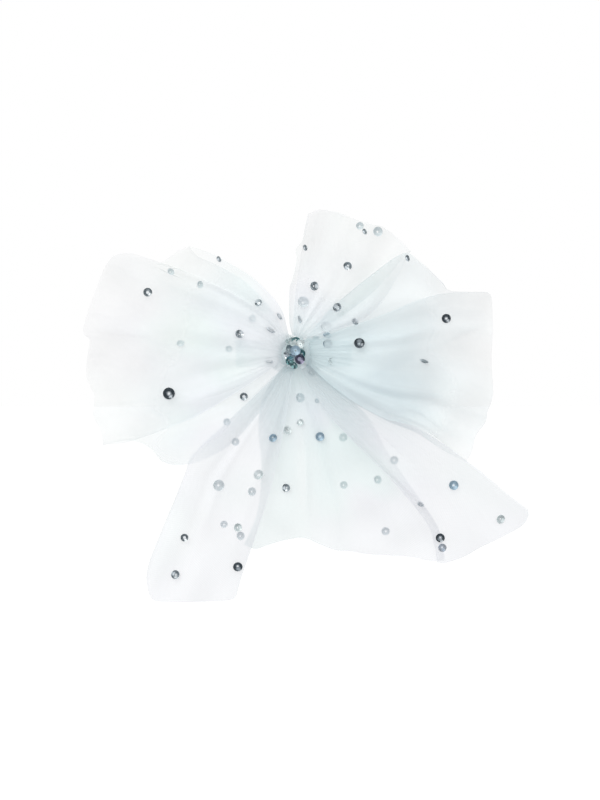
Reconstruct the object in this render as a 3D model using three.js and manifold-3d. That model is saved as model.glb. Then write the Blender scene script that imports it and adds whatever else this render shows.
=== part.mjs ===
// Tulle hair bow on a ribbon-lined alligator clip.
// Units are mm. +Z is up, +X runs along the clip to the finger tabs, +Y points to the head.
// The origin is the middle of the front jaw's lined grip face, where the lock of hair is held.
// The bow stands in front of it, towards -Y, with its knot centred on the Y axis.
import * as THREE from 'three';
import Module from 'manifold-3d';

const manifold = await Module();
manifold.setup();

const GAP = 0.1;                  // glue line between pieces that are stuck together
const CLOTH = 0.5;                // a stiffened double layer of tulle
const ROOT_RADIUS = 8.6;          // where the gathers leave the knot
const KNOT_DEPTH = -11;           // Y of the middle of the knot

const PIN = { x: 7.5, y: 3.2, radius: 0.8, halfLength: 5.3, hole: 1.1 };
const METAL = 0.8;
const RIBBON = 0.35;
const JAW_WIDTH = 8.5;
const RIBBON_WIDTH = 9.5;
const HINGE_WIDTH = 10.3;
const TAB_ANGLE = 24;             // how far the front finger tab stands off the back jaw
const TAB_START = 3.5;
const TAB_END = 20;
const TIP = -21;
const GRIP_FROM = -12.2;          // the jaws run side by side from here to TAB_START
const FRONT_JAW_Y = -0.85;        // middle of the front jaw's metal
const BACK_JAW_Y = 6.75;          // middle of the back jaw's metal
const TIP_Y = 4.7;                // middle of the front jaw's metal where its tip meets the back jaw
const RIBBON_END = 3;             // the linings stop here, short of the spring
const EAR_HALF_WIDTH = 2.2;
const BACK_EAR_INSIDE = 3.1;      // half the gap between the back jaw's ears
const FELT = { x: -3.6, y: -1.95, halfWidth: 6.8, halfHeight: 7, thickness: 1.5 };
const PAD = { from: -14.6, to: 1.5, tooth: 2.3, low: 0.35, high: 0.6, width: 7.5 };

const root = new THREE.Group();
root.name = 'hair_bow';

const COLOURS = {
  tulle: 0xe8eff0,
  wrap: 0xdfe8ea,
  thread: 0xf2f4f4,
  felt: 0xeeeeea,
  ribbon: 0xf4f4f0,
  lacquer: 0xe9ecec,
  steel: 0xb9bcc0,
  silicone: 0xdfe3e4,
  sequin: 0x9aa4ad,
};

function add(name, geometry, colour) {
  const material = new THREE.MeshStandardMaterial({ color: colour });
  const mesh = new THREE.Mesh(geometry, material);
  mesh.name = name;
  root.add(mesh);
  return mesh;
}

// ---------- solids ----------

function toSolid(geometry) {
  const welded = new Map();
  const points = [];
  const place = geometry.attributes.position;
  const lookup = [];
  for (let i = 0; i < place.count; i += 1) {
    const p = [place.getX(i), place.getY(i), place.getZ(i)];
    const key = p.map((c) => Math.round(c * 1e4)).join();
    if (!welded.has(key)) {
      welded.set(key, points.length / 3);
      points.push(...p);
    }
    lookup.push(welded.get(key));
  }
  const corners = geometry.index ? Array.from(geometry.index.array) : lookup.map((_, i) => i);
  const triangles = [];
  for (let i = 0; i < corners.length; i += 3) {
    const [a, b, c] = corners.slice(i, i + 3).map((k) => lookup[k]);
    if (a !== b && b !== c && c !== a) triangles.push(a, b, c);
  }
  return new manifold.Manifold(new manifold.Mesh({
    numProp: 3,
    vertProperties: new Float32Array(points),
    triVerts: new Uint32Array(triangles),
  }));
}

function toGeometry(solid) {
  const mesh = solid.getMesh();
  const geometry = new THREE.BufferGeometry();
  geometry.setAttribute('position', new THREE.BufferAttribute(mesh.vertProperties, 3));
  geometry.setIndex(new THREE.BufferAttribute(mesh.triVerts, 1));
  geometry.computeVertexNormals();
  return geometry;
}

// An outline in the XY plane, given its width along Z and centred on Z = 0.
function across(shape, width, centre = 0) {
  const geometry = new THREE.ExtrudeGeometry(shape, { depth: width, bevelEnabled: false });
  return geometry.translate(0, 0, centre - width / 2);
}

function block(x0, x1, y0, y1, width) {
  const geometry = new THREE.BoxGeometry(x1 - x0, y1 - y0, width);
  return geometry.translate((x0 + x1) / 2, (y0 + y1) / 2, 0);
}

function cylinderAlongZ(x, y, radius, halfLength) {
  const geometry = new THREE.CylinderGeometry(radius, radius, 2 * halfLength, 20);
  return geometry.rotateX(Math.PI / 2).translate(x, y, 0);
}

// A strip of even thickness along a line in the XY plane.
function stripShape(line, thickness) {
  const left = [];
  const right = [];
  line.forEach((p, i) => {
    const before = line[Math.max(i - 1, 0)];
    const after = line[Math.min(i + 1, line.length - 1)];
    const along = new THREE.Vector2().subVectors(after, before).normalize();
    const side = new THREE.Vector2(-along.y, along.x).multiplyScalar(thickness / 2);
    left.push(p.clone().add(side));
    right.push(p.clone().sub(side));
  });
  return new THREE.Shape([...right, ...left.reverse()]);
}

function smoothLine(points, count) {
  const curve = new THREE.SplineCurve(points.map(([x, y]) => new THREE.Vector2(x, y)));
  return curve.getSpacedPoints(count);
}

// A round wire along a path; the path is a list of [x, y, z].
function wire(points, radius, steps, sides) {
  const circle = new THREE.Shape().absarc(0, 0, radius, 0, 2 * Math.PI, false);
  const path = new THREE.CatmullRomCurve3(points.map((p) => new THREE.Vector3(...p)));
  return new THREE.ExtrudeGeometry(circle, {
    extrudePath: path,
    steps,
    curveSegments: sides,
    bevelEnabled: false,
  });
}

// ---------- tulle ----------

// Each panel of tulle fans out from the knot. Its rim is a curve through [degrees, radius],
// with degrees counted from +X towards +Z. Depths are Y at the knot and at the rim; belly is how
// far the middle stands out towards the viewer.
const PANELS = {
  left_loop_front: {
    rim: [[106, 15], [120, 30], [129, 42], [136, 53], [147, 57], [152, 70], [166, 74],
      [180, 73], [194, 72], [206, 74], [210, 62]],
    rootY: -14.2, rimY: -17, belly: 8, pleats: 9, height: 0.7,
  },
  left_loop_back: {
    rim: [[108, 14], [120, 28], [134, 50], [150, 68], [165, 72], [180, 71], [195, 70],
      [206, 72], [211, 62], [219, 60], [224, 54]],
    rootY: -12.2, rimY: -15.6, belly: 0.4, pleats: 10, height: 0.5,
  },
  right_loop_front: {
    rim: [[-30, 60], [-28, 71], [-17, 70.5], [-8, 69], [0, 69.3], [8, 70], [16, 72], [21.5, 57]],
    rootY: -14.2, rimY: -17, belly: 7.5, pleats: 5, height: 0.7,
  },
  right_loop_back: {
    rim: [[-30, 58], [-28, 69], [-17, 69], [0, 68], [8, 68.5], [16, 70], [21.5, 56]],
    rootY: -12.2, rimY: -15.6, belly: 0.4, pleats: 5, height: 0.5,
  },
  upper_right_loop_front: {
    rim: [[22.3, 57], [34, 54], [48, 53.5], [60, 52], [72, 51], [80, 50], [85, 45], [90, 33],
      [95, 18]],
    rootY: -14.2, rimY: -17.4, belly: 8, pleats: 6, height: 0.7,
  },
  upper_right_loop_back: {
    rim: [[22.3, 56], [34, 53], [48, 52], [60, 51], [72, 50], [80, 48], [85, 43], [90, 31],
      [95, 17]],
    rootY: -12.2, rimY: -16, belly: 0.4, pleats: 6, height: 0.5,
  },
  left_tail: {
    rim: [[223, 32], [227, 57], [232, 75], [236, 93], [240, 100.5], [247, 96], [254, 91],
      [257, 80], [260, 50]],
    rootY: -10.4, rimY: -13.2, belly: 0.4, pleats: 4, height: 0.5,
  },
  centre_tail: {
    rim: [[236, 60], [250, 66], [262, 68.5], [273, 65.5], [282, 71], [291, 76.5], [300, 83],
      [307, 90], [313, 86]],
    rootY: -8.6, rimY: -10.6, belly: 0.4, pleats: 8, height: 0.5,
  },
  right_tail: {
    rim: [[303, 62], [307, 88], [314, 95], [320, 99], [325, 100], [327, 86], [329, 60]],
    rootY: -10.4, rimY: -13.2, belly: 0.4, pleats: 3, height: 0.5,
  },
};

function panelSurface({ rim, rootY, rimY, belly, pleats, height }) {
  const first = rim[0][0];
  const last = rim[rim.length - 1][0];
  const edge = new THREE.CubicInterpolant(rim.map((p) => p[0]), rim.map((p) => p[1]), 1);
  const rimRadius = (degrees) => edge.evaluate(THREE.MathUtils.clamp(degrees, first, last))[0];
  const depth = (degrees, outward) => {
    const wave = Math.cos(2 * Math.PI * pleats * (degrees - first) / (last - first));
    const slope = THREE.MathUtils.lerp(rootY, rimY, outward);
    return slope - belly * Math.sin(Math.PI * outward) + height * Math.sqrt(outward) * wave;
  };
  const point = (degrees, radius) => {
    const outward = (radius - ROOT_RADIUS) / (rimRadius(degrees) - ROOT_RADIUS);
    const angle = THREE.MathUtils.degToRad(degrees);
    const y = depth(degrees, Math.max(outward, 0));
    return new THREE.Vector3(radius * Math.cos(angle), y, radius * Math.sin(angle));
  };
  return { first, last, rimRadius, point };
}

function panelGeometry(surface, pleats) {
  const geometry = new THREE.BoxGeometry(1, 1, 1, 7, 1, 4 * pleats);
  const place = geometry.attributes.position;
  for (let i = 0; i < place.count; i += 1) {
    const degrees = THREE.MathUtils.lerp(surface.first, surface.last, place.getZ(i) + 0.5);
    const radius = THREE.MathUtils.lerp(ROOT_RADIUS, surface.rimRadius(degrees), place.getX(i) + 0.5);
    const p = surface.point(degrees, radius);
    place.setXYZ(i, p.x, p.y + place.getY(i) * CLOTH, p.z);
  }
  return geometry;
}

// ---------- sequins ----------

// A cup sequin of the given diameter: a flat ring round the thread hole and a rim bent forward.
// Its axis is Y, with the hollow side towards +Y.
function sequinGeometry(diameter) {
  const radius = diameter / 2;
  const profile = [
    [0.38, 0],
    [0.5 * radius, 0],
    [radius, 0.36 * radius],
    [radius, 0.36 * radius + 0.2],
    [0.46 * radius, 0.2],
    [0.38, 0.2],
    [0.38, 0],
  ];
  return new THREE.LatheGeometry(profile.map(([r, h]) => new THREE.Vector2(r, h)), 12);
}

// How far the cloth within reach of a sequin stands out along the sequin's axis.
function bulgeUnder(surface, degrees, radius, diameter, centre, normal) {
  let bulge = 0;
  for (let i = 0; i < 12; i += 1) {
    const angle = 2 * Math.PI * i / 12;
    const reach = diameter / 2;
    const turn = THREE.MathUtils.radToDeg(reach * Math.sin(angle) / radius);
    const p = surface.point(degrees + turn, radius + reach * Math.cos(angle));
    bulge = Math.max(bulge, p.sub(centre).dot(normal));
  }
  return bulge;
}

function sequinOn(surface, degrees, radius, diameter) {
  const centre = surface.point(degrees, radius);
  const outward = surface.point(degrees, radius + 1).sub(centre);
  const around = surface.point(degrees + 60 / radius, radius).sub(centre);
  const normal = outward.cross(around).normalize();
  if (normal.y > 0) normal.negate();
  const geometry = sequinGeometry(diameter);
  geometry.applyQuaternion(
    new THREE.Quaternion().setFromUnitVectors(new THREE.Vector3(0, 1, 0), normal),
  );
  const lift = CLOTH / 2 + 0.25 + bulgeUnder(surface, degrees, radius, diameter, centre, normal);
  return geometry.translate(...centre.addScaledVector(normal, lift).toArray());
}

// Sequins sewn to each panel: [degrees, radius, diameter].
const SEWN = {
  left_loop_front: [
    [124, 21, 3], [145, 40, 2.6], [158, 55, 3.1], [165, 21, 3.1], [176, 40, 2.8], [199, 46, 4.2],
  ],
  left_loop_back: [[220, 24, 2.8]],
  upper_right_loop_front: [
    [27, 24, 2.6], [40, 50, 2.4], [48, 22, 3.1], [59, 35, 3], [63, 49, 2.8], [75, 24, 3.2],
  ],
  right_loop_front: [[-16, 13, 2.4], [-5, 45, 3], [6, 23, 3.9], [13, 54, 3.4]],
  left_tail: [
    [239, 76, 2.8], [240, 54, 4], [242, 89, 3.2], [252, 65, 3], [255, 31, 3], [255, 78, 3.4],
  ],
  centre_tail: [[264, 28, 3], [267, 48, 3], [287, 31, 3.2], [290, 50, 2.8], [297, 71, 3]],
  right_tail: [[308, 83, 3.2], [320, 73, 3.4], [321, 93, 3.2]],
};

// Sequins heaped on the knot, sewn in three layers: [x, z, diameter, layer].
const KNOT_SEQUINS = [
  [-1.3, 3.4, 3.4, 0], [2.5, -0.6, 3.2, 0], [-2.2, -2.8, 3.2, 0],
  [1.9, 2.6, 3.2, 1], [-2.3, 0.8, 3.4, 1], [1.6, -2.5, 3.6, 1],
  [0.2, 0.4, 3.6, 2], [-0.2, -4.3, 3, 2],
];
const KNOT_LAYER = 1.05;

// ---------- knot ----------

function lathedAlongX(profile, segments) {
  const outline = profile.map(([x, r]) => new THREE.Vector2(r, x));
  const geometry = new THREE.LatheGeometry(outline, segments);
  return geometry.rotateZ(-Math.PI / 2).translate(0, KNOT_DEPTH, 0);
}

function gatheredCore() {
  return lathedAlongX([[-7.4, 0], [-7.2, 2.8], [-5, 4.8], [-2.2, 4], [2.2, 4], [5, 4.8], [7.2, 2.8],
    [7.4, 0]], 16);
}

function bindingThread() {
  const turns = 4;
  const points = [];
  for (let i = 0; i <= 12 * turns; i += 1) {
    const angle = 2 * Math.PI * i / 12;
    const x = THREE.MathUtils.lerp(-1.8, 1.8, i / (12 * turns));
    points.push([x, KNOT_DEPTH + 4.65 * Math.cos(angle), 4.65 * Math.sin(angle)]);
  }
  return wire(points, 0.25, 60, 6);
}

function centreWrap() {
  const outer = [-3.6, -2.2, -0.7, 0.7, 2.2, 3.6].map((x, i) => [x, i % 2 ? 6.1 : 5.9]);
  return lathedAlongX([[3.6, 5.4], [-3.6, 5.4], ...outer, [3.6, 5.4]], 24);
}

function feltBacking() {
  const { x, y, halfWidth, halfHeight, thickness } = FELT;
  const oval = new THREE.Shape().absellipse(x, 0, halfWidth, halfHeight, 0, 2 * Math.PI, false);
  const options = { depth: thickness, bevelEnabled: false, curveSegments: 16 };
  return new THREE.ExtrudeGeometry(oval, options).rotateX(Math.PI / 2).translate(0, y, 0);
}

// ---------- clip ----------

const tabSlope = Math.tan(THREE.MathUtils.degToRad(TAB_ANGLE));
const tabY = (x) => FRONT_JAW_Y - Math.max(x - TAB_START, 0) * tabSlope;
const tipLine = [
  [TIP, TIP_Y],
  [GRIP_FROM - 6, TIP_Y],
  [GRIP_FROM - 3, (TIP_Y + FRONT_JAW_Y) / 2],
  [GRIP_FROM, FRONT_JAW_Y],
];

function frontJawLine() {
  return [
    ...smoothLine(tipLine, 8),
    ...[TAB_START, TAB_END].map((x) => new THREE.Vector2(x, tabY(x))),
  ];
}

// Ear plates stand down from a jaw and carry the pin.
function earShape(fromY, halfWidth) {
  const shape = new THREE.Shape();
  const up = Math.sign(fromY - PIN.y);
  shape.moveTo(PIN.x - halfWidth, fromY);
  shape.lineTo(PIN.x - halfWidth, PIN.y);
  shape.absarc(PIN.x, PIN.y, halfWidth, Math.PI, 0, up < 0);
  shape.lineTo(PIN.x + halfWidth, fromY);
  return shape;
}

function withEars(strip, fromY, inside, outside) {
  const thickness = outside - inside;
  let jaw = strip;
  for (const side of [-1, 1]) {
    const shape = earShape(fromY, EAR_HALF_WIDTH);
    const ear = across(shape, thickness, side * (inside + outside) / 2);
    jaw = jaw.add(toSolid(ear));
  }
  return jaw.subtract(toSolid(cylinderAlongZ(PIN.x, PIN.y, PIN.hole, 8)));
}

function frontJaw() {
  const shape = stripShape(frontJawLine(), METAL);
  const around = toSolid(block(PIN.x - 3.3, PIN.x + 3.3, -8, 2, 12));
  const wide = toSolid(across(shape, HINGE_WIDTH)).intersect(around);
  const strip = toSolid(across(shape, JAW_WIDTH)).add(wide);
  const ears = withEars(strip, -2.8, HINGE_WIDTH / 2 - METAL, HINGE_WIDTH / 2);
  return toGeometry(ears);
}

function backJaw() {
  const inner = BACK_JAW_Y - METAL / 2;
  const strip = toSolid(block(TIP, TAB_END, inner, inner + METAL, JAW_WIDTH));
  return toGeometry(withEars(strip, BACK_JAW_Y, BACK_EAR_INSIDE, BACK_EAR_INSIDE + METAL));
}

function pivotPin() {
  const head = PIN.halfLength + 0.25;
  const profile = [[-head - 0.6, 0], [-head - 0.6, 1.1], [-head, 1.5], [-head, PIN.radius],
    [head, PIN.radius], [head, 1.5], [head + 0.6, 1.1], [head + 0.6, 0]];
  const geometry = new THREE.LatheGeometry(profile.map(([z, r]) => new THREE.Vector2(r, z)), 16);
  return geometry.rotateX(Math.PI / 2).translate(PIN.x, PIN.y, 0);
}

const COIL = { radius: 1.7, wire: 0.38, from: -1.4, to: 2.3, turns: 4, legEnd: 16 };

function onCoil(degrees, z) {
  const angle = THREE.MathUtils.degToRad(degrees);
  return [PIN.x + COIL.radius * Math.cos(angle), PIN.y + COIL.radius * Math.sin(angle), z];
}

function springCoil() {
  const points = [];
  for (let i = 0; i <= 12 * COIL.turns; i += 1) {
    const z = THREE.MathUtils.lerp(COIL.from, COIL.to, i / (12 * COIL.turns));
    points.push(onCoil(-120 + 30 * i, z));
  }
  const clear = (METAL / 2 + COIL.wire + GAP) / Math.cos(THREE.MathUtils.degToRad(TAB_ANGLE));
  points.push([COIL.legEnd, tabY(COIL.legEnd) + clear, COIL.to]);
  return wire(points, COIL.wire, 64, 6);
}

function springLeg() {
  const z = COIL.from - 2 * COIL.wire - 0.2;
  const restY = BACK_JAW_Y - METAL / 2 - COIL.wire - GAP;
  const turn = [200, 160, 120, 85].map((degrees) => onCoil(degrees, z));
  const leg = [[PIN.x + 3, PIN.y + 1.9, z], [COIL.legEnd, restY, z]];
  return wire([...turn, ...leg], COIL.wire, 14, 6);
}

// Each jaw's ribbon lies along its outer face, folds over the tip and comes back inside.
function ribbonRound(outerRun, tipX, innerRun) {
  const fold = new THREE.Vector2(tipX, (outerRun.at(-1).y + innerRun[0].y) / 2);
  return across(stripShape([...outerRun, fold, ...innerRun], RIBBON), RIBBON_WIDTH);
}

function offsetLine(line, distance) {
  return line.map((p, i) => {
    const before = line[Math.max(i - 1, 0)];
    const after = line[Math.min(i + 1, line.length - 1)];
    const along = new THREE.Vector2().subVectors(after, before).normalize();
    return new THREE.Vector2(p.x - along.y * distance, p.y + along.x * distance);
  });
}

const lining = METAL / 2 + GAP + RIBBON / 2;

function frontRibbon() {
  const line = [...smoothLine(tipLine, 8), new THREE.Vector2(RIBBON_END, FRONT_JAW_Y)];
  const outer = offsetLine(line, -lining).reverse();
  const inner = offsetLine(line, lining);
  return ribbonRound(outer, TIP - GAP - RIBBON, inner);
}

function backRibbon() {
  const outer = [TAB_END, TIP].map((x) => new THREE.Vector2(x, BACK_JAW_Y + lining));
  const inner = [TIP, RIBBON_END].map((x) => new THREE.Vector2(x, BACK_JAW_Y - lining));
  return ribbonRound(outer, TIP - GAP - RIBBON, inner);
}

function gripPad() {
  const back = BACK_JAW_Y - lining - RIBBON / 2 - GAP;
  const shape = new THREE.Shape();
  shape.moveTo(PAD.to, back);
  shape.lineTo(PAD.from, back);
  for (let x = PAD.from; x < PAD.to - 0.1; x += PAD.tooth) {
    shape.lineTo(x, back - PAD.low);
    shape.lineTo(x + PAD.tooth / 2, back - PAD.high);
  }
  shape.lineTo(PAD.to, back - PAD.low);
  return across(shape, PAD.width);
}

// ---------- assembly ----------

for (const [name, spec] of Object.entries(PANELS)) {
  const surface = panelSurface(spec);
  add(name, panelGeometry(surface, spec.pleats), COLOURS.tulle);
  (SEWN[name] || []).forEach(([degrees, radius, diameter], i) => {
    add(`sequin_${name}_${i + 1}`, sequinOn(surface, degrees, radius, diameter), COLOURS.sequin);
  });
}

KNOT_SEQUINS.forEach(([x, z, diameter, layer], i) => {
  const y = KNOT_DEPTH - 6.4 - KNOT_LAYER * layer;
  const geometry = sequinGeometry(diameter).rotateZ(Math.PI).translate(x, y, z);
  add(`sequin_knot_${i + 1}`, geometry, COLOURS.sequin);
});

add('gathered_core', gatheredCore(), COLOURS.tulle);
add('binding_thread', bindingThread(), COLOURS.thread);
add('centre_wrap', centreWrap(), COLOURS.wrap);
add('felt_backing', feltBacking(), COLOURS.felt);
add('clip_front_jaw', frontJaw(), COLOURS.lacquer);
add('clip_front_ribbon', frontRibbon(), COLOURS.ribbon);
add('clip_back_jaw', backJaw(), COLOURS.lacquer);
add('clip_back_ribbon', backRibbon(), COLOURS.ribbon);
add('clip_grip_pad', gripPad(), COLOURS.silicone);
add('clip_pivot_pin', pivotPin(), COLOURS.steel);
add('clip_spring', springCoil(), COLOURS.steel);
add('clip_spring_leg', springLeg(), COLOURS.steel);

export default root;
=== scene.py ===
import math

import bpy
import numpy as np
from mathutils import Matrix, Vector
from mathutils.bvhtree import BVHTree


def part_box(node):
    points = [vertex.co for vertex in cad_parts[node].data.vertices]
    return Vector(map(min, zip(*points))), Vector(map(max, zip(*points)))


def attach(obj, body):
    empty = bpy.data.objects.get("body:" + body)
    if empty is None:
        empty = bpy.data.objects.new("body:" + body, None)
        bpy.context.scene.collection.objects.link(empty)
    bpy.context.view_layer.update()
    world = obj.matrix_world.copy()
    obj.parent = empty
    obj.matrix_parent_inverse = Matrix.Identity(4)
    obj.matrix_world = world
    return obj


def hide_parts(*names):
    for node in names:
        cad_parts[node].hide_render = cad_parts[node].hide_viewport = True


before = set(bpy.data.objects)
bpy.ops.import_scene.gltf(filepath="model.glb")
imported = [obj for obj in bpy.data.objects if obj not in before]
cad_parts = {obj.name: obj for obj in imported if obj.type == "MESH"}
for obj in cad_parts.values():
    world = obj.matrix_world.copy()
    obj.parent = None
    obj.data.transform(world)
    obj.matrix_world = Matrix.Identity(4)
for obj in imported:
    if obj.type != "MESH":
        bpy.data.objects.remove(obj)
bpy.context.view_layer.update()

MM = 0.001
BODY = "bow"
JAW_BODY = "back_jaw"
KNOT_Y = -11.0                    # depth of the middle of the knot, in mm
PICTURE_HEIGHT = 280.0            # mm shown from top to bottom at the bow
PICTURE_CENTRE = (1.75, -16.8)    # X and Z at the middle of the picture, in mm
BOW_Y = -18.0                     # depth at which the picture is measured, in mm
LENS = 85.0
SENSOR = 36.0
FLOOR_Z = -125.0
FLOOR_HALF = 30000.0              # half of the floor's side, in mm
FLOOR_GREY = 0.22
FLOOR_GLOW = 0.77
LIT_STRENGTH = 1.22
LIGHT_AIM = (0, 0, -0.015)        # where the lamps point, in metres
LAYERS_SEEN_THROUGH = 48          # how many see-through surfaces a ray may pass
CURVE_STEPS = 24                  # samples between two points of a smooth curve
EDGE_SAMPLES = 400
FOLD_SAMPLES = 60
LOOP_ROWS = 70                    # rows of mesh from the knot to the rim of a loop, on each layer
TAIL_ROWS = 110


def new_object(name, data):
    made = bpy.data.objects.new(name, data)
    bpy.context.collection.objects.link(made)
    return made


def new_mesh(name, points, faces):
    """A mesh from points in mm."""
    mesh = bpy.data.meshes.new(name)
    mesh.from_pydata((np.reshape(points, (-1, 3)) * MM).tolist(), [], faces)
    return mesh


# ---------- camera, light and floor ----------

def add_camera():
    data = bpy.data.cameras.new("camera")
    data.lens = LENS
    data.sensor_width = SENSOR
    data.clip_start = 0.01
    camera = new_object("camera", data)
    distance = PICTURE_HEIGHT * LENS / SENSOR
    x, z = PICTURE_CENTRE
    camera.location = Vector((x, BOW_Y - distance, z)) * MM
    camera.rotation_euler = (math.radians(90), 0, 0)
    bpy.context.scene.camera = camera


def add_area_light(name, place, size, power, colour=(1, 1, 1)):
    data = bpy.data.lights.new(name, "AREA")
    data.energy = power
    data.size = size
    data.color = colour
    light = new_object(name, data)
    light.location = place
    aim = Vector(LIGHT_AIM) - Vector(place)
    light.rotation_euler = aim.to_track_quat("-Z", "Y").to_euler()


# The world by height, from below to above, and as mirrored, from behind the bow to the viewer.
LIT_STOPS = [(0.0, (0.70, 0.72, 0.74)), (0.45, (0.76, 0.78, 0.80)), (1.0, (1.0, 1.0, 1.0))]
MIRRORED_STOPS = [
    (0.0, (0.6, 0.64, 0.68)), (0.4, (0.24, 0.27, 0.29)), (0.84, (0.09, 0.11, 0.12)),
    (0.93, (0.85, 0.92, 0.96)), (1.0, (1.0, 1.0, 1.0)),
]


def build_world():
    """White to look at, a soft gradient to be lit by, and a dark studio to be mirrored."""
    world = bpy.data.worlds.new("studio")
    bpy.context.scene.world = world
    world.use_nodes = True
    n = Nodes(world)
    n.tree.nodes.clear()

    def background(colour, strength):
        return n.add("ShaderNodeBackground", Color=colour, Strength=strength).outputs[0]

    def choose(by, otherwise, chosen):
        node = n.add("ShaderNodeMixShader")
        for socket, source in zip(node.inputs, (by, otherwise, chosen)):
            n.link(source, socket)
        return node.outputs[0]

    direction = n.add("ShaderNodeTexCoord").outputs["Generated"]
    split = n.add("ShaderNodeSeparateXYZ", Vector=direction)
    height = n.add("ShaderNodeMapRange", Value=split.outputs["Z"], From_Min=-1)
    forward = n.add("ShaderNodeMapRange", Value=split.outputs["Y"], From_Min=1, From_Max=-1)
    lit = background(n.ramp(height.outputs[0], LIT_STOPS), LIT_STRENGTH)
    mirrored = background(n.ramp(forward.outputs[0], MIRRORED_STOPS), 1.0)
    ray = n.add("ShaderNodeLightPath")
    glossy = choose(ray.outputs["Is Glossy Ray"], lit, mirrored)
    seen = choose(ray.outputs["Is Camera Ray"], glossy, background((1, 1, 1, 1), 1.0))
    n.link(seen, n.add("ShaderNodeOutputWorld").inputs["Surface"])


def add_floor():
    corners = [(x * FLOOR_HALF, y * FLOOR_HALF, FLOOR_Z) for x, y in ((-1, -1), (1, -1), (1, 1), (-1, 1))]
    mesh = new_mesh("floor", corners, [(0, 1, 2, 3)])
    floor = new_object("floor", mesh)
    material, shader = new_material("floor", (FLOOR_GREY, FLOOR_GREY, FLOOR_GREY), roughness=0.9)
    shader.inputs["Emission Color"].default_value = (1, 1, 1, 1)
    shader.inputs["Emission Strength"].default_value = FLOOR_GLOW
    mesh.materials.append(material)
    floor.visible_diffuse = False
    floor.visible_glossy = False


# ---------- materials ----------

def new_material(name, colour, roughness=0.5, metallic=0.0):
    material = bpy.data.materials.new(name)
    material.use_nodes = True
    shader = material.node_tree.nodes["Principled BSDF"]
    shader.inputs["Base Color"].default_value = (*colour, 1)
    shader.inputs["Roughness"].default_value = roughness
    shader.inputs["Metallic"].default_value = metallic
    return material, shader


class Nodes:
    """Short names for the nodes that the world and the materials share."""

    def __init__(self, owner):
        self.tree = owner.node_tree

    def add(self, kind, **inputs):
        node = self.tree.nodes.new(kind)
        for name, value in inputs.items():
            socket = node.inputs[name.replace("_", " ")]
            if isinstance(value, bpy.types.NodeSocket):
                self.tree.links.new(value, socket)
            else:
                socket.default_value = value
        return node

    def math(self, operation, a, b=None):
        node = self.tree.nodes.new("ShaderNodeMath")
        node.operation = operation
        for socket, value in zip(node.inputs, (a, b)):
            if isinstance(value, bpy.types.NodeSocket):
                self.tree.links.new(value, socket)
            elif value is not None:
                socket.default_value = value
        return node.outputs[0]

    def attribute(self, name):
        node = self.tree.nodes.new("ShaderNodeAttribute")
        node.attribute_name = name
        return node

    def uv(self, scale_x, scale_y):
        node = self.tree.nodes.new("ShaderNodeUVMap")
        mapping = self.tree.nodes.new("ShaderNodeMapping")
        mapping.inputs["Scale"].default_value = (scale_x, scale_y, 1)
        self.tree.links.new(node.outputs[0], mapping.inputs["Vector"])
        return mapping.outputs[0]

    def noise(self, vector, scale, detail=2.0):
        node = self.add("ShaderNodeTexNoise", Vector=vector, Scale=scale, Detail=detail)
        return node.outputs[0]

    def span(self, value, low, high, to_low, to_high):
        node = self.tree.nodes.new("ShaderNodeMapRange")
        node.interpolation_type = "SMOOTHSTEP"
        self.tree.links.new(value, node.inputs["Value"])
        for name, number in (("From Min", low), ("From Max", high), ("To Min", to_low), ("To Max", to_high)):
            node.inputs[name].default_value = number
        return node.outputs[0]

    def ramp(self, value, stops):
        node = self.tree.nodes.new("ShaderNodeValToRGB")
        elements = node.color_ramp.elements
        while len(elements) < len(stops):
            elements.new(0.5)
        for element, (place, colour) in zip(elements, stops):
            element.position = place
            element.color = (*colour, 1)
        self.tree.links.new(value, node.inputs[0])
        return node.outputs[0]

    def link(self, a, b):
        self.tree.links.new(a, b)


def net_threads(n):
    """The two crossing sets of threads of the net, -1 to 1 about their middle."""
    threads = []
    for across in (1, -1):
        wave = n.add("ShaderNodeTexWave", Vector=n.uv(across, 1), Scale=0.9, Distortion=1.5)
        wave.bands_direction = "DIAGONAL"
        threads.append(wave.outputs["Fac"])
    return n.math("SUBTRACT", n.math("ADD", *threads), 1.0)


def tulle_coverage(n, outward, stops):
    """How much the cloth hides of what is behind it: by distance from the knot, folds and clouds; along
    folds it is partly doubled cloth and partly painted shade.
    """
    place = n.add("ShaderNodeTexCoord").outputs["Object"]
    clouds = n.math("SUBTRACT", n.noise(place, 70.0), 0.5)
    streaks = n.span(n.noise(n.uv(0.3, 0.016), 1.0), 0.45, 0.75, 0.0, 1.0)
    parts = [
        # fold: coverage along the folds, partly doubled cloth and partly painted shade
        (n.attribute("fold").outputs["Fac"], 1.0),
        (n.attribute("pleat").outputs["Fac"], 0.04),
        (n.attribute("edge").outputs["Fac"], 0.06),
        (streaks, 0.025),
        (n.math("MULTIPLY", clouds, n.span(outward, 0.45, 1.0, 1.0, 0.25)), 0.3),
        (net_threads(n), 0.02),
    ]
    coverage = n.ramp(outward, [(at, (c, c, c)) for at, c in stops])
    for value, share in parts:
        coverage = n.math("ADD", coverage, n.math("MULTIPLY", value, share))
    return n.add("ShaderNodeClamp", Value=coverage, Min=0.03, Max=0.95).outputs[0]


def tulle_tint(n, outward, hues, knot_tint):
    """A hue that drifts over the cloth and settles to one tint at the knot."""
    mix = n.tree.nodes.new("ShaderNodeMix")
    mix.data_type = "RGBA"
    n.link(n.span(outward, 0.05, 0.45, 1.0, 0.0), mix.inputs["Factor"])
    n.link(n.ramp(n.noise(n.uv(0.03, 0.022), 1.0, 1.0), hues), mix.inputs["A"])
    mix.inputs["B"].default_value = (*knot_tint, 1)
    return mix.outputs["Result"]


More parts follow.
